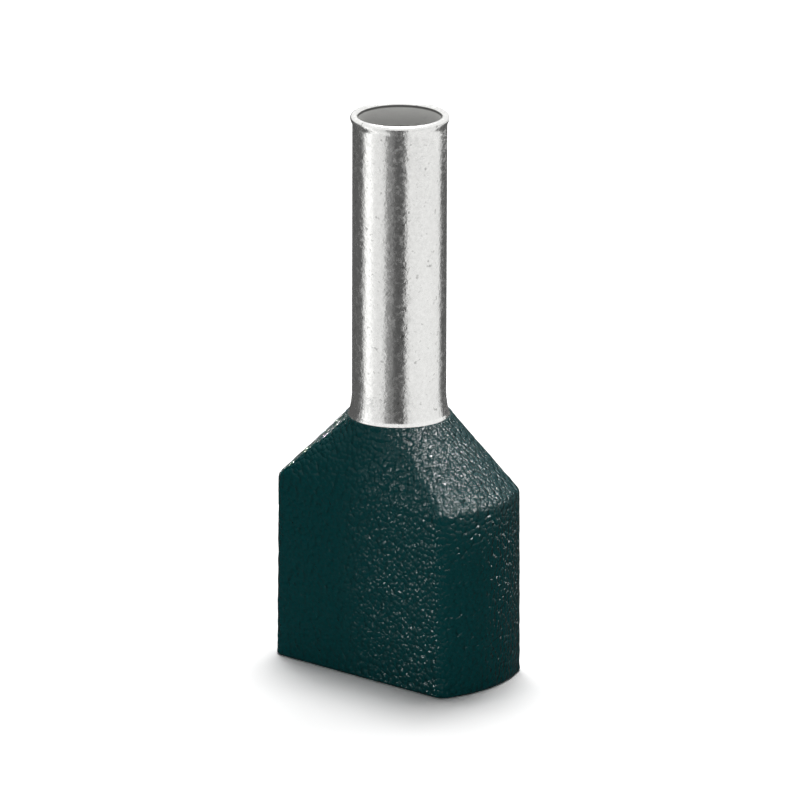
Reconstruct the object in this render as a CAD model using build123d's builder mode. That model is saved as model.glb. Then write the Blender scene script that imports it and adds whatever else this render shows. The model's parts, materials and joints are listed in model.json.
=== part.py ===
"""Twin wire ferrule: a tinned copper sleeve held in a moulded collar for two wires.

It stands on the collar's mouth, as it is shown. The origin is the middle of the mouth, on the
surface it stands on. +Z runs up the sleeve, X is the long way of the mouth and Y the short way.
All sizes are in millimetres.
"""

import os
from math import radians, sqrt, tan

from build123d import *

# Sleeve: a plain tube with a flared foot and a rolled rim
bore_diameter = 2.3
sleeve_wall = 0.15
bare_length = 8.52  # from the collar's top to the rim
foot_depth = 1.1  # how far the foot reaches down into the collar
foot_flare = 0.13  # what the foot gains in radius
flare_height = 0.65  # height above the collar in which it gains it
flare_curl = 0.04  # steeper cone at the lower end of the flare
foot_bevel = 0.06  # lead-in for the strands, inside the foot's end
rim_lip = 0.06  # what the rim stands out past the tube
rim_rise = 0.15  # height in which the lip leaves the tube
rim_radius = 0.1  # rounding of the rim, outside and inside

# Collar, outside: a drafted oblong box with bulging ends, and hipped shoulders to the sleeve
collar_height = 7.24
shoulder_height = 2.0
mouth_width = 6.88
mouth_depth = 3.51
end_radius = 3.56  # bulge of the two narrow ends
corner_radius = 0.35
draft_angle = 0.3
neck_lip = 0.02  # plastic that stands round the foot at the collar's top
hip_angle = 50.0  # where a hip meets the neck, measured from the long axis
hip_span = 6.0  # degrees of the neck that one rounded hip takes
fold_radius = 0.25  # rounding of the fold under the shoulders
mouth_break = 0.05  # bevel that takes the sharpness off the mouth, outside

# Collar, inside: a chamber for two insulated wires, and a funnel up to the sleeve
collar_wall = 0.3
chamber_height = 4.7
chamber_radius = 0.4  # upright corners of the chamber
mouth_bevel = 0.1

seat_gap = 0.01  # clearance between the sleeve and its seat in the collar

bore_radius = bore_diameter / 2
sleeve_radius = bore_radius + sleeve_wall
foot_bore_radius = bore_radius + foot_flare
foot_radius = sleeve_radius + foot_flare
lip_radius = sleeve_radius + rim_lip
foot_level = collar_height - foot_depth
curl_level = collar_height + flare_curl
flare_level = collar_height + flare_height
rim_level = collar_height + bare_length
lip_level = rim_level - rim_radius
fold_level = collar_height - shoulder_height

UP = (0, 1)
DOWN = (0, -1)


def drafted(level):
    """How far the mould's draft has drawn a wall in at a level."""
    return level * tan(radians(draft_angle))


def oblong(level, inset, corner):
    """Eight edges across the collar at a level, this far inside the outline of the mouth."""
    half_width = mouth_width / 2 - inset
    half_depth = mouth_depth / 2 - inset
    bulge = end_radius - inset
    corner_x = half_width - bulge + sqrt(bulge**2 - half_depth**2)
    with BuildSketch(Plane.XY.offset(level)) as section:
        with BuildLine():
            ThreePointArc((corner_x, -half_depth), (half_width, 0), (corner_x, half_depth))
            Line((corner_x, half_depth), (-corner_x, half_depth))
            ThreePointArc((-corner_x, half_depth), (-half_width, 0), (-corner_x, -half_depth))
            Line((-corner_x, -half_depth), (corner_x, -half_depth))
        make_face()
        fillet(section.vertices(), corner)
    return section.sketch.face().outer_wire().edges()


def ring(level, radius):
    """Eight arcs of a circle, in an oblong's order: end, hip, side, hip, and again."""
    end_span = 2 * hip_angle - hip_span
    side_span = 180 - 2 * hip_angle - hip_span
    start = -end_span / 2
    arcs = []
    for span in (end_span, hip_span, side_span, hip_span) * 2:
        arcs.append(Edge.make_circle(radius, Plane.XY.offset(level), start, start + span))
        start += span
    return arcs


def skinned(*sections):
    """Solid with a ruled face between each edge of a section and its fellow in the next."""
    faces = [Face(Wire(sections[0])), Face(Wire(sections[-1]))]
    for lower, upper in zip(sections, sections[1:]):
        for lower_edge, upper_edge in zip(lower, upper):
            faces.append(Face.make_surface_from_curves(lower_edge, upper_edge))
    return Solid(Shell(faces))


# Sleeve: half of its section, turned about its axis
with BuildPart() as sleeve:
    with BuildSketch(Plane.XZ):
        with BuildLine():
            Line((foot_radius, foot_level), (foot_radius, collar_height))
            Line((foot_radius, collar_height), (foot_radius - flare_curl, curl_level))
            TangentArc((sleeve_radius, flare_level), (foot_radius - flare_curl, curl_level), tangent=DOWN)
            Line((sleeve_radius, flare_level), (sleeve_radius, lip_level - rim_rise))
            Spline((sleeve_radius, lip_level - rim_rise), (lip_radius, lip_level), tangents=(UP, UP))
            CenterArc((lip_radius - rim_radius, lip_level), rim_radius, 0, 90)
            Line((lip_radius - rim_radius, rim_level), (bore_radius + rim_radius, rim_level))
            CenterArc((bore_radius + rim_radius, lip_level), rim_radius, 90, 90)
            Line((bore_radius, lip_level), (bore_radius, flare_level))
            TangentArc((bore_radius, flare_level), (foot_bore_radius, collar_height), tangent=DOWN)
            Line((foot_bore_radius, collar_height), (foot_bore_radius, foot_level + foot_bevel))
            Line((foot_bore_radius, foot_level + foot_bevel), (foot_bore_radius + foot_bevel, foot_level))
            Line((foot_bore_radius + foot_bevel, foot_level), (foot_radius, foot_level))
        make_face()
    revolve(axis=Axis.Z)

# Collar: the outside, less the wire chamber with its funnel, less the sleeve's seat
with BuildPart() as collar:
    add(
        skinned(
            oblong(0, mouth_break, corner_radius),
            oblong(mouth_break, drafted(mouth_break), corner_radius),
            oblong(fold_level, drafted(fold_level), corner_radius),
            ring(collar_height, foot_radius + neck_lip),
        )
    )
    fillet(collar.edges().filter_by_position(Axis.Z, fold_level, fold_level), fold_radius)
    add(
        skinned(
            oblong(0, collar_wall - mouth_bevel, chamber_radius),
            oblong(mouth_bevel, collar_wall + drafted(mouth_bevel), chamber_radius),
            oblong(chamber_height, collar_wall + drafted(chamber_height), chamber_radius),
            ring(foot_level, foot_bore_radius),
        ),
        mode=Mode.SUBTRACT,
    )
    with BuildSketch(Plane.XY.offset(foot_level)):
        Circle(foot_radius + seat_gap)
    extrude(amount=foot_depth, mode=Mode.SUBTRACT)

sleeve.part.label = "sleeve"
collar.part.label = "collar"

os.makedirs("parts", exist_ok=True)
export_step(sleeve.part, "parts/sleeve.step")
export_step(collar.part, "parts/collar.step")
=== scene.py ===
# %% [markdown]
# # A twin wire ferrule
# A ferrule for two wires has two pieces: a short tube of tinned copper, and a collar of moulded
# plastic that guides both wires into the tube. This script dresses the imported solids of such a
# ferrule in Blender. It makes the two pieces again as fine meshes, gives them their finishes, and
# sets up a small studio. Every length is in metres, and Z runs up the tube.

# %% Load the solids
import json
from math import asin, atan2, cos, pi, radians, sin, sqrt, tan

import bpy
import numpy as np
from mathutils import Matrix, Vector


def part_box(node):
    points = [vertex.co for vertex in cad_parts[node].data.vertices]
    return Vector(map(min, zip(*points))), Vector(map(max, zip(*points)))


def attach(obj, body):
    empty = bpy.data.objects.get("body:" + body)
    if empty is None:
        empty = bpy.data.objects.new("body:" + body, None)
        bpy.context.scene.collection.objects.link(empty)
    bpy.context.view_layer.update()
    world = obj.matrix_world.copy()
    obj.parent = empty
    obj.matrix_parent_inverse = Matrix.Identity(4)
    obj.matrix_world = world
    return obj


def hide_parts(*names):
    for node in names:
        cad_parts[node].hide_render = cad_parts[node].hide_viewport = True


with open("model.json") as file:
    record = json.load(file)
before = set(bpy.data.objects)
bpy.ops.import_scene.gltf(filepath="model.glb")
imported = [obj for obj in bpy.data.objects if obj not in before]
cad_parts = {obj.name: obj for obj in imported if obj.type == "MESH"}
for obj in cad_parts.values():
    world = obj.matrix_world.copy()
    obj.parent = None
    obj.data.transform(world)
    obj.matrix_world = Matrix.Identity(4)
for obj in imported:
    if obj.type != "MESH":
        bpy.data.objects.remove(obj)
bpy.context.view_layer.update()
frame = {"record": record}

# %% [markdown]
# ## Sizes
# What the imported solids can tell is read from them, so the meshes stay where the solids are: the
# levels and reaches come from the boxes of the two solids, and the tube's radii from the part's
# record. The sizes that a box doesn't show are repeated here, in millimetres. Two of them are a
# little larger than in the solids, which draws those bends softer: the curl at the flare's foot
# and the rise of the rim's lip.

# %% Sizes
mm = 0.001

collar_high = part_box("collar")[1]
sleeve_low, sleeve_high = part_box("sleeve")
mounts = {mount["name"]: mount["dims"] for mount in frame["record"]["mounts"]}

sleeve_radius = mounts["sleeve_outside"]["r_mm"] * mm
bore_radius = mounts["conductor_bore"]["r_mm"] * mm
foot_radius = sleeve_high.x
foot_level = sleeve_low.z
rim_level = sleeve_high.z
collar_top = collar_high.z
mouth_half_width = collar_high.x
mouth_half_depth = collar_high.y

flare_height = 0.65 * mm
flare_curl = 0.055 * mm
foot_bevel = 0.06 * mm
rim_lip = 0.06 * mm
rim_rise = 0.2 * mm
rim_rounding = 0.1 * mm

shoulder_height = 2.0 * mm
end_radius = 3.56 * mm
corner_radius = 0.35 * mm
draft = tan(radians(0.3))
neck_lip = 0.02 * mm
hip_angle = 50.0
hip_span = 6.0
fold_radius = 0.25 * mm
mouth_break = 0.05 * mm
collar_wall = 0.3 * mm
chamber_height = 4.7 * mm
chamber_radius = 0.4 * mm
mouth_bevel = 0.1 * mm
seat_gap = 0.01 * mm

fold_level = collar_top - shoulder_height
print("tube", sleeve_radius / mm, "mm in radius, foot", foot_radius / mm, "mm")

# %% [markdown]
# ## Camera
# The photograph looks down on the ferrule by 17 degrees, from 40 degrees round its long side,
# through a long lens. So the camera goes on a sphere round a point near the axis, and looks back at
# it. The angles, the distance and the lens were fitted to the outline together.

# %% Camera
camera_turn = 40.0
camera_rise = 17.34
camera_distance = 280 * mm
camera_roll = 0.164
aim_height = 7.59 * mm
aim_shift = 0.027 * mm
lens_length = 457.9


def direction(turn, rise):
    """Unit vector from the ferrule towards an angle round it and an angle above the floor."""
    turn, rise = radians(turn), radians(rise)
    return Vector((sin(turn) * cos(rise), -cos(turn) * cos(rise), sin(rise)))


camera_data = bpy.data.cameras.new("camera")
camera_data.lens = lens_length
camera_data.clip_start = 10 * mm
camera_data.clip_end = 2.0
camera = bpy.data.objects.new("camera", camera_data)
bpy.context.scene.collection.objects.link(camera)
bpy.context.scene.camera = camera

towards_camera = direction(camera_turn, camera_rise)
camera_right = direction(camera_turn + 90, 0)
aim = Vector((0, 0, aim_height)) + camera_right * aim_shift
looking = (-towards_camera).to_track_quat("-Z", "Y").to_matrix()
camera.matrix_world = Matrix.Translation(aim + towards_camera * camera_distance) @ (
    looking @ Matrix.Rotation(radians(camera_roll), 3, "Z")
).to_4x4()
bpy.context.scene.view_settings.view_transform = "Standard"
print("camera at", tuple(round(part, 4) for part in camera.location))

# %% [markdown]
# ## Two helpers for materials
# Colours are written as the hex values of a colour picker, and shaders want linear light, so one
# function turns the first into the second. The other one adds a node to a tree, with its settings
# and with its inputs either set to a value or linked to another node's output.


# %% Helpers for materials
def colour(hex_value, alpha=1.0):
    """Linear colour of an sRGB hex value such as "8899aa"."""
    parts = [int(hex_value[i : i + 2], 16) / 255 for i in (0, 2, 4)]
    linear = [part / 12.92 if part <= 0.04045 else ((part + 0.055) / 1.055) ** 2.4 for part in parts]
    return (*linear, alpha)


def add(tree, kind, inputs=None, **settings):
    """Adds a node; inputs maps a socket's name or number to a value or to an output socket."""
    node = tree.nodes.new(kind)
    for name, value in settings.items():
        setattr(node, name, value)
    for socket, value in (inputs or {}).items():
        if isinstance(value, bpy.types.NodeSocket):
            tree.links.new(value, node.inputs[socket])
        else:
            node.inputs[socket].default_value = value
    return node


def new_material(name):
    """Empty material: its tree, and the material itself."""
    material = bpy.data.materials.new(name)
    material.use_nodes = True
    material.node_tree.nodes.clear()
    return material.node_tree, material


print("mid grey is", [round(part, 3) for part in colour("808080")[:3]])

# %% [markdown]
# ## Floor and background
# The ferrule stands on plain white, with a soft dark shadow that hugs its base. The floor is a
# white board under the lamps. Where the camera or a reflection looks at it, it is a little whiter,
# so that its lit part is clean white and only the real shadow is left. The world is white for the
# same rays, and much dimmer as a source of light, because the lamps do the lighting.

# %% Floor and background
floor_size = 0.8
fill_light = 0.08
lit_grey = (0.8, 0.8, 0.8, 1)
seen_white = (1.27, 1.27, 1.27, 1)


def seen_ray(tree):
    """1 for a ray that shows the background: from the camera, in a reflection or through glass."""
    path = add(tree, "ShaderNodeLightPath").outputs
    camera_ray, mirror_ray = path["Is Camera Ray"], path["Is Glossy Ray"]
    either = add(tree, "ShaderNodeMath", {0: camera_ray, 1: mirror_ray}, operation="MAXIMUM").outputs[0]
    glass_ray = path["Is Transmission Ray"]
    return add(tree, "ShaderNodeMath", {0: either, 1: glass_ray}, operation="MAXIMUM").outputs[0]


# White board: a floor without an end, clean white up to the soft shadow round the collar
tree, floor_material = new_material("white board")
board_colour = add(
    tree,
    "ShaderNodeMix",
    {"Factor": seen_ray(tree), 6: lit_grey, 7: seen_white},
    data_type="RGBA",
)
board = add(tree, "ShaderNodeBsdfDiffuse", {"Color": board_colour.outputs[2]})
add(tree, "ShaderNodeOutputMaterial", {"Surface": board.outputs[0]})

floor_mesh = bpy.data.meshes.new("floor")
half = floor_size / 2
floor_corners = [(-half, -half, 0), (half, -half, 0), (half, half, 0), (-half, half, 0)]
floor_mesh.from_pydata(floor_corners, [], [(0, 1, 2, 3)])
floor_mesh.materials.append(floor_material)
floor = bpy.data.objects.new("floor", floor_mesh)
bpy.context.scene.collection.objects.link(floor)

world = bpy.data.worlds.new("studio")
bpy.context.scene.world = world
world.use_nodes = True
studio = world.node_tree
studio.nodes.clear()
seen = seen_ray(studio)
strength = add(studio, "ShaderNodeMapRange", {"Value": seen, "To Min": fill_light, "To Max": 1.0}).outputs[0]
background = add(studio, "ShaderNodeBackground", {"Color": (1, 1, 1, 1), "Strength": strength})
add(studio, "ShaderNodeOutputWorld", {"Surface": background.outputs[0]})
print("floor", floor_size, "m across")

# %% [markdown]
# ## Lamps
# A large soft box hangs above and a little behind the ferrule, so its shadow stays close and falls
# towards the camera. The other lamps light the collar only. A soft box near the camera fills the
# upright walls. The rest are snoots, spots without a size that make highlights and nothing else, so
# the plastic keeps its depth. Three of them light the sloping end from a little beside the
# directions in which it mirrors them towards the camera, so that one flank of each dome of the
# grain shines. The others catch the far half of the end wall, the right half of the broad side and
# the hip on the left. Each lamp is placed by its angle round the ferrule from the camera, its
# height angle and its distance, and faces its target.

# %% Lamps
collar_only = bpy.data.collections.new("lit by the small lamps")


def placed_lamp(name, kind, turn, rise, distance, target):
    """Lamp that faces a target, turn degrees round from the camera to the right."""
    lamp = bpy.data.objects.new(name, bpy.data.lights.new(name, kind))
    bpy.context.scene.collection.objects.link(lamp)
    towards = direction(camera_turn + turn, rise)
    lamp.location = Vector(target) + towards * distance
    lamp.rotation_euler = towards.to_track_quat("Z", "Y").to_euler()
    return lamp


def soft_box(name, turn, rise, distance, size, radiance, target=(0, 0, 4 * mm)):
    """Square lamp of this size and radiance."""
    lamp = placed_lamp(name, "AREA", turn, rise, distance, target)
    lamp.data.shape = "SQUARE"
    lamp.data.size = size
    lamp.data.energy = radiance * pi * size * size
    print(name, "gives", round(lamp.data.energy, 4), "W")
    return lamp


def snoot(name, turn, rise, distance, beam, light, target, tallness):
    """Highlight-only spot: its beam is this wide at the target, its light in W per square metre."""
    lamp = placed_lamp(name, "SPOT", turn, rise, distance, target)
    lamp.scale.y = tallness
    lamp.data.spot_size = 2 * atan2(beam / 2, distance)
    lamp.data.spot_blend = 1.0
    lamp.data.shadow_soft_size = 0.0
    lamp.data.energy = light * 4 * pi * distance * distance
    lamp.visible_diffuse = False
    print(name, "gives", round(lamp.data.energy, 4), "W")
    return lamp


shoulder = (2.4 * mm, 0.2 * mm, 6.5 * mm)
side = (4.6 * mm, -1.75 * mm, 3.4 * mm)
edge = (3.3 * mm, 0.3 * mm, 2.4 * mm)
hip = (-2.0 * mm, -1.3 * mm, 6.2 * mm)

# One row for each snoot: name, turn, rise, distance, beam, light, target and tallness of the beam
snoots = (
    ("shoulder_snoot_30", 30, 48, 70 * mm, 10 * mm, 7.0, shoulder, 1.0),
    ("shoulder_snoot_88", 88, 32, 70 * mm, 6 * mm, 12.0, shoulder, 1.0),
    ("shoulder_snoot_110", 110, 70, 70 * mm, 10 * mm, 4.2, shoulder, 1.0),
    ("edge_snoot", 134, 2, 70 * mm, 6.4 * mm, 0.28, edge, 1.0),
    ("side_snoot", -78, 9, 60 * mm, 9.2 * mm, 3.2, side, 2.1),
    ("hip_snoot", -150, 6, 70 * mm, 8 * mm, 1.1, hip, 1.0),
)

soft_box("top_lamp", turn=176, rise=72, distance=160 * mm, size=90 * mm, radiance=11.0)
small_lamps = [soft_box("front_lamp", turn=-6, rise=18, distance=250 * mm, size=150 * mm, radiance=3.4)]
small_lamps += [snoot(*row) for row in snoots]
for lamp in small_lamps:
    lamp.light_linking.receiver_collection = collar_only

# %% [markdown]
# ## Paper for the reflections
# A bright tube shows its surroundings as upright bands. In the photograph it has a dark band down
# its front, dark edges, and light between them. A photographer makes such bands with paper round
# the object. Here it is one ring of paper that only reflections see, so it takes no light away and
# no view shows it. Its grey changes round the ring at a few stops, which a colour attribute
# carries. A point of the tube mirrors the paper at twice the angle by which it is turned from the
# camera. A low dark card inside it does the same for the plastic, which it keeps deep. The tube
# looks over it.

# %% Paper ring
paper_radius = 22 * mm
paper_heights = ((-180, 16 * mm), (30, 16 * mm), (36, 10 * mm), (174, 10 * mm), (180, 16 * mm))
card_radius = 4.5 * mm
card_heights = ((-180, 4.5 * mm), (-150, 6.5 * mm), (15, 6.5 * mm), (30, 4.5 * mm), (180, 4.5 * mm))
card_inner = 1 * mm
card_grey = 0.08
paper_lift = 0.05 * mm
paper_steps = 240
paper_greys = (
    (-180, 0.11), (-100, 0.11), (-95, 0.4), (-90, 1.0), (-87, 1.25), (-71, 1.25), (-66, 0.9),
    (-36, 0.84), (-31, 0.28), (-16, 0.22), (-11, 0.09), (13, 0.09), (17, 0.88), (60, 0.93),
    (110, 0.9), (115, 0.5), (120, 0.11), (180, 0.11),
)


def reflection_only(name, rows):
    """Paper through rows of a radius, levels and greys, which only reflections see."""
    # Paper: an even glow of its own grey, seen as an upright band in the tube
    tree, material = new_material(name)
    shade = add(tree, "ShaderNodeAttribute", attribute_name="grey")
    paper = add(tree, "ShaderNodeEmission", {"Color": shade.outputs["Color"]})
    add(tree, "ShaderNodeOutputMaterial", {"Surface": paper.outputs[0]})
    points = []
    for radius, levels, greys in rows:
        points += [(way.x * radius, way.y * radius, level) for way, level in zip(around, levels)]
    faces = []
    for first in range(0, (len(rows) - 1) * paper_steps, paper_steps):
        for i in range(paper_steps):
            j = (i + 1) % paper_steps
            faces.append((first + i, first + j, first + paper_steps + j, first + paper_steps + i))
    mesh = bpy.data.meshes.new(name)
    mesh.from_pydata(points, [], faces)
    mesh.materials.append(material)
    attribute = mesh.attributes.new("grey", "FLOAT_COLOR", "POINT")
    shades = np.concatenate([greys for radius, levels, greys in rows])
    attribute.data.foreach_set("color", np.stack([shades, shades, shades, np.ones_like(shades)], 1).ravel())
    paper = bpy.data.objects.new(name, mesh)
    bpy.context.scene.collection.objects.link(paper)
    paper.visible_camera = False
    paper.visible_diffuse = False
    paper.visible_shadow = False
    paper.visible_transmission = False


turns = np.linspace(-180, 180, paper_steps, endpoint=False)
ring_greys = np.interp(turns, *zip(*paper_greys))
around = [direction(camera_turn + turn, 0) for turn in turns]
card_greys = np.full(paper_steps, card_grey)
on_floor = np.full(paper_steps, paper_lift)
ring_top = np.interp(turns, *zip(*paper_heights))
card_top = np.interp(turns, *zip(*card_heights))
reflection_only(
    "paper_ring",
    (
        (card_radius, on_floor, ring_greys),
        (paper_radius, on_floor, ring_greys),
        (paper_radius, ring_top, ring_greys),
    ),
)
reflection_only(
    "dark_card",
    (
        (card_inner, on_floor, card_greys),
        (card_radius, on_floor, card_greys),
        (card_radius, card_top, card_greys),
    ),
)
print("paper ring of", paper_steps, "steps")

# %% [markdown]
# ## Tin plating
# The tube is copper with a bright tin plating. Tin goes on as a soft mottled skin: it mirrors the
# studio, but shallow dimples a tenth of a millimetre wide break the mirror up, small specks are
# duller or pitted, and the sheen changes from patch to patch. So the shader is a plain metal in
# tin's pale grey, with noise of three widths in its bump, its colour and its roughness. The lamps
# alone don't give the bore the shade that the photograph shows. It is painted: a thin dark line
# just inside the rim, and a darker tone from 0.7 mm down.

# %% Tin plating
dimple_width = 0.11 * mm
speck_width = 0.15 * mm
patch_width = 0.5 * mm
dimple_depth = 0.009 * mm
pit_depth = 0.003 * mm
skin_strength = 0.8
# The bore is rougher, and its colour carries painted shade: a thin dark line and a darker depth
dull_shaded_inside = bore_radius + 0.05 * mm
dull_shaded_below = rim_level - 0.06 * mm
line_high, line_low = rim_level - 0.11 * mm, rim_level - 0.14 * mm
deep_high, deep_low = rim_level - 0.64 * mm, rim_level - 0.7 * mm
bore_roughness = 0.7

# Bright tin plating: soft-edged grey bands with a fine mottle, and a dull bore with painted shade
tree, tin_plating = new_material("bright tin plating")
place = add(tree, "ShaderNodeTexCoord").outputs["Object"]
dimples = add(
    tree,
    "ShaderNodeTexNoise",
    {"Vector": place, "Scale": 1 / dimple_width, "Detail": 2.0, "Roughness": 0.6},
).outputs[0]
patches = add(
    tree,
    "ShaderNodeTexNoise",
    {"Vector": place, "Scale": 1 / patch_width, "Detail": 3.0},
).outputs[0]
specks = add(
    tree,
    "ShaderNodeTexNoise",
    {"Vector": place, "Scale": 1 / speck_width, "Detail": 1.0},
).outputs[0]
pits = add(tree, "ShaderNodeMapRange", {"Value": specks, "From Min": 0.66, "From Max": 0.8}).outputs[0]
matte = add(
    tree,
    "ShaderNodeMapRange",
    {"Value": specks, "From Min": 0.5, "From Max": 0.36, "To Max": 0.11},
).outputs[0]
across = add(tree, "ShaderNodeVectorMath", {0: place, 1: (1, 1, 0)}, operation="MULTIPLY").outputs[0]
radius = add(tree, "ShaderNodeVectorMath", {0: across}, operation="LENGTH").outputs["Value"]
level = add(tree, "ShaderNodeSeparateXYZ", {"Vector": place}).outputs["Z"]
within = add(tree, "ShaderNodeMath", {0: radius, 1: dull_shaded_inside}, operation="LESS_THAN").outputs[0]
below = add(tree, "ShaderNodeMath", {0: level, 1: dull_shaded_below}, operation="LESS_THAN").outputs[0]
inside = add(tree, "ShaderNodeMath", {0: within, 1: below}, operation="MULTIPLY").outputs[0]
sheen = add(
    tree,
    "ShaderNodeMapRange",
    {"Value": patches, "From Min": 0.3, "From Max": 0.7, "To Min": 0.13, "To Max": 0.22},
).outputs[0]
mottled = add(tree, "ShaderNodeMath", {0: sheen, 1: matte}, operation="ADD").outputs[0]
dullness = add(
    tree,
    "ShaderNodeMapRange",
    {"Value": inside, "To Min": mottled, "To Max": bore_roughness},
).outputs[0]
tin = add(
    tree,
    "ShaderNodeMix",
    {"Factor": dimples, 6: colour("dededc"), 7: colour("fbfbf9")},
    data_type="RGBA",
).outputs[2]
pitted = add(
    tree,
    "ShaderNodeMix",
    {"Factor": pits, 6: tin, 7: colour("b4b4b2")},
    data_type="RGBA",
).outputs[2]
# Painted shade in the bore: a thin dark line just inside the rim, and a darker tone from 0.7 mm down
line = add(
    tree,
    "ShaderNodeMapRange",
    {"Value": level, "From Min": line_low, "From Max": line_high},
).outputs[0]
deep = add(
    tree,
    "ShaderNodeMapRange",
    {"Value": level, "From Min": deep_high, "From Max": deep_low},
).outputs[0]
shade = add(tree, "ShaderNodeMath", {0: line, 1: deep}, operation="MAXIMUM").outputs[0]
bore_painted_shade = add(
    tree,
    "ShaderNodeMix",
    {"Factor": shade, 6: colour("dededc"), 7: colour("727270")},
    data_type="RGBA",
).outputs[2]
shaded = add(tree, "ShaderNodeMix", {"Factor": inside, 6: pitted, 7: bore_painted_shade}, data_type="RGBA").outputs[2]
skin = add(
    tree,
    "ShaderNodeBump",
    {"Height": dimples, "Distance": dimple_depth, "Strength": skin_strength},
).outputs[0]
skin = add(
    tree,
    "ShaderNodeBump",
    {"Height": pits, "Distance": pit_depth, "Strength": skin_strength, "Normal": skin},
    invert=True,
).outputs[0]
plating = add(
    tree,
    "ShaderNodeBsdfPrincipled",
    {"Base Color": shaded, "Metallic": 1.0, "Roughness": dullness, "Normal": skin},
)
add(tree, "ShaderNodeOutputMaterial", {"Surface": plating.outputs[0]})
print("dimples", dimple_width / mm, "mm wide")

# %% [markdown]
# ## Moulded plastic
# The collar is moulded in a spark-eroded mould, which leaves a fine leathery grain all over it.
# The plastic is nearly black with a green-blue cast, and half glossy. The grain is a field of
# rounded domes, packed side by side and 0.14 mm wide, which the cells of a Voronoi texture give
# with their soft distance, squared and turned over. It shows as bright flanks where a lamp meets it.

# %% Moulded plastic
grain_width = 0.14 * mm
grain_depth = 0.066 * mm
grain_warp = 0.5 * grain_width

# Moulded polyamide: a deep green-black that stays dark, with small bright points on its grain
tree, moulded_plastic = new_material("moulded polyamide")
place = add(tree, "ShaderNodeTexCoord").outputs["Object"]
warp = add(tree, "ShaderNodeTexNoise", {"Vector": place, "Scale": 1 / grain_width, "Detail": 0.0})
warp = add(tree, "ShaderNodeVectorMath", {0: warp.outputs["Color"], "Scale": grain_warp}, operation="SCALE")
warped = add(tree, "ShaderNodeVectorMath", {0: place, 1: warp.outputs[0]}, operation="ADD")
cells = add(
    tree,
    "ShaderNodeTexVoronoi",
    {"Vector": warped.outputs[0], "Scale": 1 / grain_width, "Smoothness": 0.2},
    feature="SMOOTH_F1",
)
domes = add(tree, "ShaderNodeMath", {0: cells.outputs["Distance"], 1: 2.0}, operation="POWER")
relief = add(
    tree,
    "ShaderNodeBump",
    {"Height": domes.outputs[0], "Distance": grain_depth, "Strength": 1.0},
    invert=True,
)
plastic = add(
    tree,
    "ShaderNodeBsdfPrincipled",
    {
        "Base Color": colour("02393b"),
        "Roughness": 0.25,
        "Specular IOR Level": 0.12,
        "Normal": relief.outputs[0],
    },
)
add(tree, "ShaderNodeOutputMaterial", {"Surface": plastic.outputs[0]})
print("grain", grain_width / mm, "mm wide")

# %% [markdown]
# ## Sleeve
# The tube is the same all round, so one closed half section says everything about it: up the
# outside of the foot, in along the flare, up the tube, over the rolled rim and down the bore. It
# could be the solid's own section, but a finer one keeps the rim and the flare smooth.

# %% Section of the sleeve
fine_step = 0.08 * mm
coarse_step = 0.3 * mm
arc_steps = 7
lip_steps = 8
flare_steps = 12
bore_flare_steps = 8


def straight(start, end, step):
    """Points from start to end, without the last, no further apart than the step."""
    start, end = Vector(start), Vector(end)
    count = max(1, round((end - start).length / step))
    return [start.lerp(end, i / count) for i in range(count)]


def round_off(centre, radius, first, last, steps):
    """Points of an arc between two angles in degrees, with both ends."""
    angles = [radians(first + (last - first) * i / steps) for i in range(steps + 1)]
    return [Vector((centre[0] + radius * cos(a), centre[1] + radius * sin(a))) for a in angles]


def flare(start_radius, end_radius, end_level, steps):
    """Points of the trumpet from the tube's radius down to the foot's, without the first."""
    drop = collar_top + flare_height - end_level
    grow = end_radius - start_radius
    bend = (drop**2 + grow**2) / (2 * grow)
    turn = asin(drop / bend)
    points = []
    for i in range(1, steps + 1):
        angle = turn * i / steps
        reach = start_radius + bend * (1 - cos(angle))
        points.append(Vector((reach, collar_top + flare_height - bend * sin(angle))))
    return points


lip_radius = sleeve_radius + rim_lip
lip_level = rim_level - rim_rounding
lip_start = lip_level - rim_rise
flare_start = collar_top + flare_height
curl_end = (foot_radius - flare_curl, collar_top + flare_curl)
foot_bore = bore_radius + foot_radius - sleeve_radius

section = straight((foot_radius, foot_level), (foot_radius, collar_top), coarse_step)
section += [Vector((foot_radius, collar_top)), Vector(curl_end)]
section += reversed(flare(sleeve_radius, *curl_end, flare_steps)[:-1])
section += straight((sleeve_radius, flare_start), (sleeve_radius, lip_start), fine_step)
for i in range(lip_steps):
    part = i / lip_steps
    swell = rim_lip * part * part * (3 - 2 * part)
    section.append(Vector((sleeve_radius + swell, lip_start + rim_rise * part)))
section += round_off((lip_radius - rim_rounding, lip_level), rim_rounding, 0, 90, arc_steps)
section += round_off((bore_radius + rim_rounding, lip_level), rim_rounding, 90, 180, arc_steps)
section += straight((bore_radius, lip_level), (bore_radius, flare_start), coarse_step)[1:]
section.append(Vector((bore_radius, flare_start)))
section += flare(bore_radius, foot_bore, collar_top, bore_flare_steps)
section += straight((foot_bore, collar_top), (foot_bore, foot_level + foot_bevel), coarse_step)[1:]
section.append(Vector((foot_bore, foot_level + foot_bevel)))
section.append(Vector((foot_bore + foot_bevel, foot_level)))
print("section of", len(section), "points")

# %% [markdown]
# ### Turning the section
# Geometry Nodes turn the section about the axis: a flat grid gets one row for each point of the
# section and one column for each step of the turn, and each of its points moves to where the
# section would be. Then the seam is merged, and the faces, which point into the metal once the grid
# is wrapped, are turned round. The flaring tool leaves faint flutes on the foot, and the drawn tube
# is never quite even, so the same tree adds both as tiny offsets along the radius.

# %% Tree that turns a section
seam_distance = 0.0005 * mm


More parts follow.
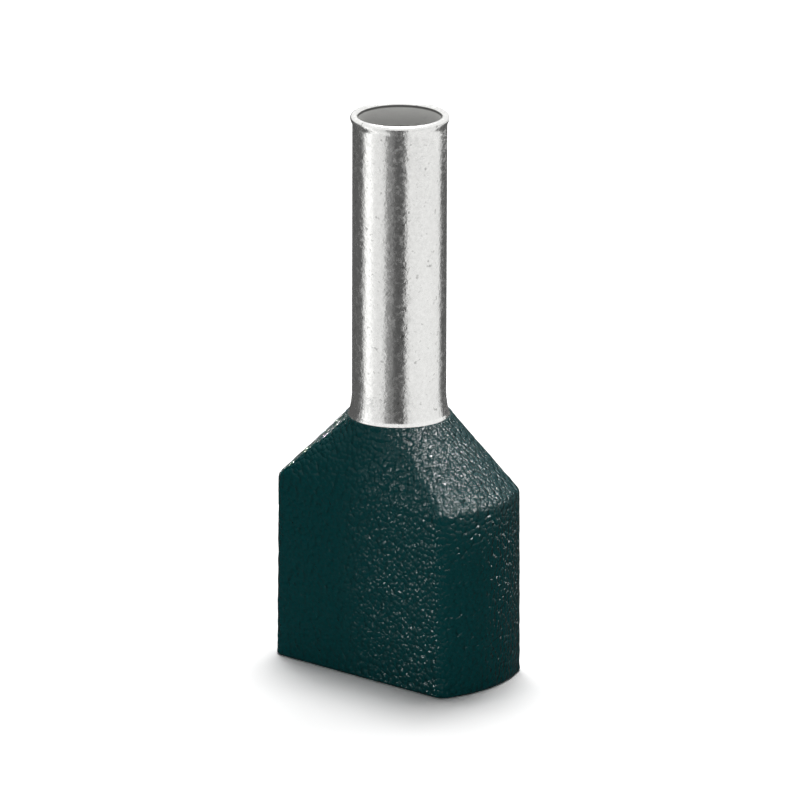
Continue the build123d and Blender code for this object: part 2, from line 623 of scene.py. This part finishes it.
def new_tree(name, sockets):
    """Geometry Nodes tree with a geometry in and out and these named inputs."""
    tree = bpy.data.node_groups.new(name, "GeometryNodeTree")
    tree.is_modifier = True
    tree.interface.new_socket("Geometry", in_out="INPUT", socket_type="NodeSocketGeometry")
    tree.interface.new_socket("Geometry", in_out="OUTPUT", socket_type="NodeSocketGeometry")
    for socket_name, kind in sockets.items():
        tree.interface.new_socket(socket_name, in_out="INPUT", socket_type=kind)
    return tree


def grown(piece, tree, values):
    """Runs a tree on a piece with these values of its named inputs, and keeps the mesh."""
    modifier = piece.modifiers.new(tree.name, "NODES")
    modifier.node_group = tree
    for item in tree.interface.items_tree:
        if item.name in values:
            modifier[item.identifier] = values[item.name]
    piece.data.update()
    depsgraph = bpy.context.evaluated_depsgraph_get()
    mesh = bpy.data.meshes.new_from_object(piece.evaluated_get(depsgraph))
    piece.modifiers.remove(modifier)
    piece.data = mesh
    mesh.name = piece.name
    return piece


lathe = new_tree(
    "turned section",
    {
        "Steps Around": "NodeSocketInt",
        "Section Points": "NodeSocketInt",
        "Waviness": "NodeSocketFloat",
        "Wave Width": "NodeSocketFloat",
        "Flute Depth": "NodeSocketFloat",
        "Flutes": "NodeSocketFloat",
        "Flute Low": "NodeSocketFloat",
        "Flute High": "NodeSocketFloat",
        "Seed": "NodeSocketFloat",
        "Material": "NodeSocketMaterial",
    },
)
given = add(lathe, "NodeGroupInput").outputs
columns = add(lathe, "ShaderNodeMath", {0: given["Steps Around"], 1: 1.0}, operation="ADD").outputs[0]
rows = add(lathe, "ShaderNodeMath", {0: given["Section Points"], 1: 1.0}, operation="ADD").outputs[0]
grid = add(lathe, "GeometryNodeMeshGrid", {"Vertices X": rows, "Vertices Y": columns})
index = add(lathe, "GeometryNodeInputIndex").outputs[0]
row = add(lathe, "ShaderNodeMath", {0: index, 1: columns}, operation="DIVIDE").outputs[0]
row = add(lathe, "ShaderNodeMath", {0: row}, operation="FLOOR").outputs[0]
column = add(lathe, "ShaderNodeMath", {0: index, 1: columns}, operation="FLOORED_MODULO").outputs[0]
section_row = add(
    lathe,
    "ShaderNodeMath",
    {0: row, 1: given["Section Points"]},
    operation="FLOORED_MODULO",
).outputs[0]
section_place = add(lathe, "GeometryNodeInputPosition").outputs[0]
sample = add(
    lathe,
    "GeometryNodeSampleIndex",
    {"Geometry": given["Geometry"], "Value": section_place, "Index": section_row},
    data_type="FLOAT_VECTOR",
)
point = add(lathe, "ShaderNodeSeparateXYZ", {0: sample.outputs[0]}).outputs
part_turn = add(lathe, "ShaderNodeMath", {0: column, 1: given["Steps Around"]}, operation="DIVIDE").outputs[0]
turn = add(lathe, "ShaderNodeMath", {0: part_turn, 1: 2 * pi}, operation="MULTIPLY").outputs[0]
along_x = add(lathe, "ShaderNodeMath", {0: turn}, operation="COSINE").outputs[0]
along_y = add(lathe, "ShaderNodeMath", {0: turn}, operation="SINE").outputs[0]
outwards = add(lathe, "ShaderNodeCombineXYZ", {0: along_x, 1: along_y}).outputs[0]
out = add(lathe, "ShaderNodeVectorMath", {0: outwards, "Scale": point[0]}, operation="SCALE").outputs[0]
up = add(lathe, "ShaderNodeCombineXYZ", {2: point[2]}).outputs[0]
turned = add(lathe, "ShaderNodeVectorMath", {0: out, 1: up}, operation="ADD").outputs[0]
wave_scale = add(lathe, "ShaderNodeMath", {0: 1.0, 1: given["Wave Width"]}, operation="DIVIDE").outputs[0]
wave = add(
    lathe,
    "ShaderNodeTexNoise",
    {"Vector": turned, "W": given["Seed"], "Scale": wave_scale, "Detail": 1.0},
    noise_dimensions="4D",
).outputs[0]
inwards = add(lathe, "ShaderNodeMath", {0: wave, 1: given["Waviness"]}, operation="MULTIPLY").outputs[0]
flute_turn = add(lathe, "ShaderNodeMath", {0: turn, 1: given["Flutes"]}, operation="MULTIPLY").outputs[0]
flute = add(lathe, "ShaderNodeMath", {0: flute_turn}, operation="SINE").outputs[0]
rise = add(
    lathe,
    "ShaderNodeMapRange",
    {
        "Value": point[2],
        "From Min": given["Flute Low"],
        "From Max": given["Flute High"],
        "To Min": 1.0,
        "To Max": 0.0,
    },
    interpolation_type="SMOOTHSTEP",
).outputs[0]
flute = add(lathe, "ShaderNodeMath", {0: flute, 1: wave}, operation="MULTIPLY").outputs[0]
flute = add(lathe, "ShaderNodeMath", {0: flute, 1: rise}, operation="MULTIPLY").outputs[0]
flute = add(lathe, "ShaderNodeMath", {0: flute, 1: given["Flute Depth"]}, operation="MULTIPLY").outputs[0]
inwards = add(lathe, "ShaderNodeMath", {0: inwards, 1: flute}, operation="ADD").outputs[0]
inwards = add(lathe, "ShaderNodeMath", {0: inwards, 1: -1.0}, operation="MULTIPLY").outputs[0]
offset = add(lathe, "ShaderNodeVectorMath", {0: outwards, "Scale": inwards}, operation="SCALE").outputs[0]
wrapped = add(
    lathe,
    "GeometryNodeSetPosition",
    {"Geometry": grid.outputs[0], "Position": turned, "Offset": offset},
)
merged = add(
    lathe,
    "GeometryNodeMergeByDistance",
    {"Geometry": wrapped.outputs[0], "Distance": seam_distance},
)
outward = add(lathe, "GeometryNodeFlipFaces", {"Mesh": merged.outputs[0]})
smooth = add(lathe, "GeometryNodeSetShadeSmooth", {"Geometry": outward.outputs[0]})
real = add(lathe, "GeometryNodeRealizeInstances", {"Geometry": smooth.outputs[0]})
finished = add(
    lathe,
    "GeometryNodeSetMaterial",
    {"Geometry": real.outputs[0], "Material": given["Material"]},
)
add(lathe, "NodeGroupOutput", {0: finished.outputs[0]})
print("tree with", len(lathe.nodes), "nodes")

# %% [markdown]
# ### The finished tube
# The waviness and the flutes are thousandths of a millimetre deep, which is enough to bend a
# reflection. The sign of the printed volume shows which way the faces point: it would be negative
# if they pointed inwards.

# %% Sleeve


def new_piece(name, points, faces=()):
    """Mesh object at the origin, linked to the scene."""
    mesh = bpy.data.meshes.new(name)
    mesh.from_pydata(points, [], faces)
    piece = bpy.data.objects.new(name, mesh)
    bpy.context.scene.collection.objects.link(piece)
    return piece


def volume(mesh):
    """Volume inside a closed mesh, positive where its faces point outwards."""
    mesh.calc_loop_triangles()
    points = np.array([vertex.co for vertex in mesh.vertices])
    corners = np.array([triangle.vertices for triangle in mesh.loop_triangles])
    a, b, c = points[corners[:, 0]], points[corners[:, 1]], points[corners[:, 2]]
    return float(np.einsum("ij,ij->i", a, np.cross(b, c)).sum() / 6)


sleeve = new_piece("tinned_sleeve", [(point.x, 0, point.y) for point in section])
grown(
    sleeve,
    lathe,
    {
        "Steps Around": 192,
        "Section Points": len(section),
        "Waviness": 0.002 * mm,
        "Wave Width": 0.6 * mm,
        "Flute Depth": 0.004 * mm,
        "Flutes": 66.0,
        "Flute Low": collar_top + 0.1 * mm,
        "Flute High": collar_top + 0.6 * mm,
        "Seed": 3.0,
        "Material": tin_plating,
    },
)
print("sleeve", len(sleeve.data.polygons), "faces,", round(volume(sleeve.data) / mm**3, 3), "cubic mm")

# %% [markdown]
# ## Collar
# The collar is a tube too, but its section changes from an oblong with bulging ends to a circle.
# So it is a row of rings, each with the same number of points: up the outside, over the top edge,
# down the seat of the sleeve, out along the funnel and down the chamber for the wires. A straight
# run joins each point of a ring to the same point of the next, and that gives the four hips. The
# crease at the fold is rounded on the way, and the mouth gets a small bevel on both sides.

# %% Rings of the collar
end_steps, corner_steps, side_steps = 64, 6, 112


def arc_points(centre, radius, first, last, count):
    """Points of an arc in the plane, angles in radians, without the last one."""
    angles = first + (last - first) * np.arange(count) / count
    return np.stack([centre[0] + radius * np.cos(angles), centre[1] + radius * np.sin(angles)], 1)


def oblong(level, inset, corner):
    """Ring round the collar at a level, this far inside the outline of the mouth."""
    half_width = mouth_half_width - inset
    half_depth = mouth_half_depth - inset
    bulge = end_radius - inset
    bulge_x = half_width - bulge
    corner_y = half_depth - corner
    corner_x = bulge_x + sqrt((bulge - corner) ** 2 - corner_y**2)
    meet = atan2(corner_y, corner_x - bulge_x)
    end = arc_points((bulge_x, 0), bulge, -meet, meet, end_steps)
    turn = arc_points((corner_x, corner_y), corner, meet, pi / 2, corner_steps)
    side = np.linspace((corner_x, half_depth), (-corner_x, half_depth), side_steps, endpoint=False)
    back_turn = arc_points((-corner_x, corner_y), corner, pi / 2, pi - meet, corner_steps)
    half_ring = np.concatenate([end, turn, side, back_turn])
    ring = np.concatenate([half_ring, -half_ring])
    return np.column_stack([ring, np.full(len(ring), level)])


def circle(level, radius):
    """Round ring, its points shared out between ends, hips and sides as an oblong's are."""
    spans = (2 * hip_angle - hip_span, hip_span, 180 - 2 * hip_angle - hip_span, hip_span)
    start = -spans[0] / 2
    parts = []
    for span, count in zip(spans, (end_steps, corner_steps, side_steps, corner_steps)):
        parts.append(arc_points((0, 0), radius, radians(start), radians(start + span), count))
        start += span
    half_ring = np.concatenate(parts)
    ring = np.concatenate([half_ring, -half_ring])
    return np.column_stack([ring, np.full(len(ring), level)])


def between(lower, upper, step):
    """Rings from one to the other, without the last, about a step apart."""
    count = max(1, round(float(np.linalg.norm(upper - lower, axis=1).mean()) / step))
    return [lower + (upper - lower) * i / count for i in range(count)]


def rounded(lower, crease, upper, radius, steps):
    """Rings that replace a crease by a soft bend, of about this radius."""
    into = crease - lower
    away = upper - crease
    into /= np.linalg.norm(into, axis=1)[:, None]
    away /= np.linalg.norm(away, axis=1)[:, None]
    reach = radius * np.tan(np.arccos(np.clip((into * away).sum(1), -1, 1)) / 2)[:, None]
    start, end = crease - into * reach, crease + away * reach
    parts = np.arange(steps + 1) / steps
    return [(1 - t) ** 2 * start + 2 * t * (1 - t) * crease + t * t * end for t in parts]


wall_step = 0.05 * mm
inner_step = 0.4 * mm
fold_steps = 6

mouth_outer = oblong(0, mouth_break, corner_radius)
wall_start = oblong(mouth_break, draft * mouth_break, corner_radius)
fold = oblong(fold_level, draft * fold_level, corner_radius)
neck = circle(collar_top, foot_radius + neck_lip)
seat_top = circle(collar_top, foot_radius + seat_gap)
seat_end = circle(foot_level, foot_radius + seat_gap)
funnel_end = circle(foot_level, foot_bore)
chamber_top = oblong(chamber_height, collar_wall + draft * chamber_height, chamber_radius)
chamber_end = oblong(mouth_bevel, collar_wall + draft * mouth_bevel, chamber_radius)
mouth_inner = oblong(0, collar_wall - mouth_bevel, chamber_radius)

bend = rounded(wall_start, fold, neck, fold_radius, fold_steps)
rings = [mouth_outer]
rings += between(wall_start, bend[0], wall_step) + bend[:-1] + between(bend[-1], neck, wall_step)
outer_rings = len(rings)
rings += [neck, seat_top]
rings += between(seat_top, seat_end, inner_step)[1:] + [seat_end, funnel_end]
rings += between(funnel_end, chamber_top, inner_step)[1:]
rings += between(chamber_top, chamber_end, inner_step) + [chamber_end, mouth_inner]
print(len(rings), "rings of", len(neck), "points")

# %% [markdown]
# ### Uneven walls
# A moulded wall is never quite flat. So the outside sinks by up to 0.02 mm, in soft hollows 0.3 mm
# wide. It only sinks, which keeps the mesh inside the solid. The fine grain is too small for the
# mesh and stays in the material.

# %% Tree for the grain
grain_tree = new_tree(
    "moulded grain",
    {
        "Grain Width": "NodeSocketFloat",
        "Grain Depth": "NodeSocketFloat",
        "Seed": "NodeSocketFloat",
        "Material": "NodeSocketMaterial",
    },
)
given = add(grain_tree, "NodeGroupInput").outputs
spot = add(grain_tree, "GeometryNodeInputPosition").outputs[0]
facing = add(grain_tree, "GeometryNodeInputNormal").outputs[0]
share = add(
    grain_tree,
    "GeometryNodeInputNamedAttribute",
    {"Name": "grain_share"},
    data_type="FLOAT",
).outputs[0]
scale = add(grain_tree, "ShaderNodeMath", {0: 1.0, 1: given["Grain Width"]}, operation="DIVIDE").outputs[0]
bumps = add(
    grain_tree,
    "ShaderNodeTexNoise",
    {"Vector": spot, "W": given["Seed"], "Scale": scale, "Detail": 1.0},
    noise_dimensions="4D",
).outputs[0]
bumps = add(
    grain_tree,
    "ShaderNodeMapRange",
    {"Value": bumps, "From Min": 0.25, "From Max": 0.75},
).outputs[0]
depth = add(
    grain_tree,
    "ShaderNodeMath",
    {0: bumps, 1: given["Grain Depth"]},
    operation="MULTIPLY",
).outputs[0]
depth = add(grain_tree, "ShaderNodeMath", {0: depth, 1: share}, operation="MULTIPLY").outputs[0]
depth = add(grain_tree, "ShaderNodeMath", {0: depth, 1: -1.0}, operation="MULTIPLY").outputs[0]
sink = add(grain_tree, "ShaderNodeVectorMath", {0: facing, "Scale": depth}, operation="SCALE").outputs[0]
grained = add(grain_tree, "GeometryNodeSetPosition", {"Geometry": given["Geometry"], "Offset": sink})
smooth = add(grain_tree, "GeometryNodeSetShadeSmooth", {"Geometry": grained.outputs[0]})
real = add(grain_tree, "GeometryNodeRealizeInstances", {"Geometry": smooth.outputs[0]})
finished = add(
    grain_tree,
    "GeometryNodeSetMaterial",
    {"Geometry": real.outputs[0], "Material": given["Material"]},
)
add(grain_tree, "NodeGroupOutput", {0: finished.outputs[0]})
print("tree with", len(grain_tree.nodes), "nodes")

# %% [markdown]
# ### The finished collar
# Each face joins two neighbouring points of a ring to the same two of the next, and the last ring
# joins the first, so the mesh is closed. An attribute keeps the unevenness to the outside: the
# mouth's edge, the neck and the inside stay as drawn.

# %% Collar
ring_points = len(neck)
count = len(rings)
plain_rings = 3


def corner_of(ring, point):
    """Number of a point of a ring in the mesh; the last ring is followed by the first."""
    return (ring % count) * ring_points + point % ring_points


faces = [
    (corner_of(r, p), corner_of(r, p + 1), corner_of(r + 1, p + 1), corner_of(r + 1, p))
    for r in range(count)
    for p in range(ring_points)
]
collar = new_piece("moulded_collar", np.concatenate(rings).tolist(), faces)
grain_share = np.zeros(count)
grain_share[plain_rings : outer_rings - 1] = 1.0
attribute = collar.data.attributes.new("grain_share", "FLOAT", "POINT")
attribute.data.foreach_set("value", np.repeat(grain_share, ring_points))
grown(
    collar,
    grain_tree,
    {"Grain Width": 0.3 * mm, "Grain Depth": 0.02 * mm, "Seed": 7.0, "Material": moulded_plastic},
)
print("collar", len(collar.data.polygons), "faces,", round(volume(collar.data) / mm**3, 3), "cubic mm")

# %% [markdown]
# ## Handing over
# Both meshes stand for the solids of the same name, which are hidden, and ride on the part's only
# body.

# %% Hand over
for piece, node, slot_name in ((sleeve, "sleeve", "tinned_copper"), (collar, "collar", "collar_plastic")):
    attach(piece, "root")
    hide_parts(node)
collar_only.objects.link(collar)
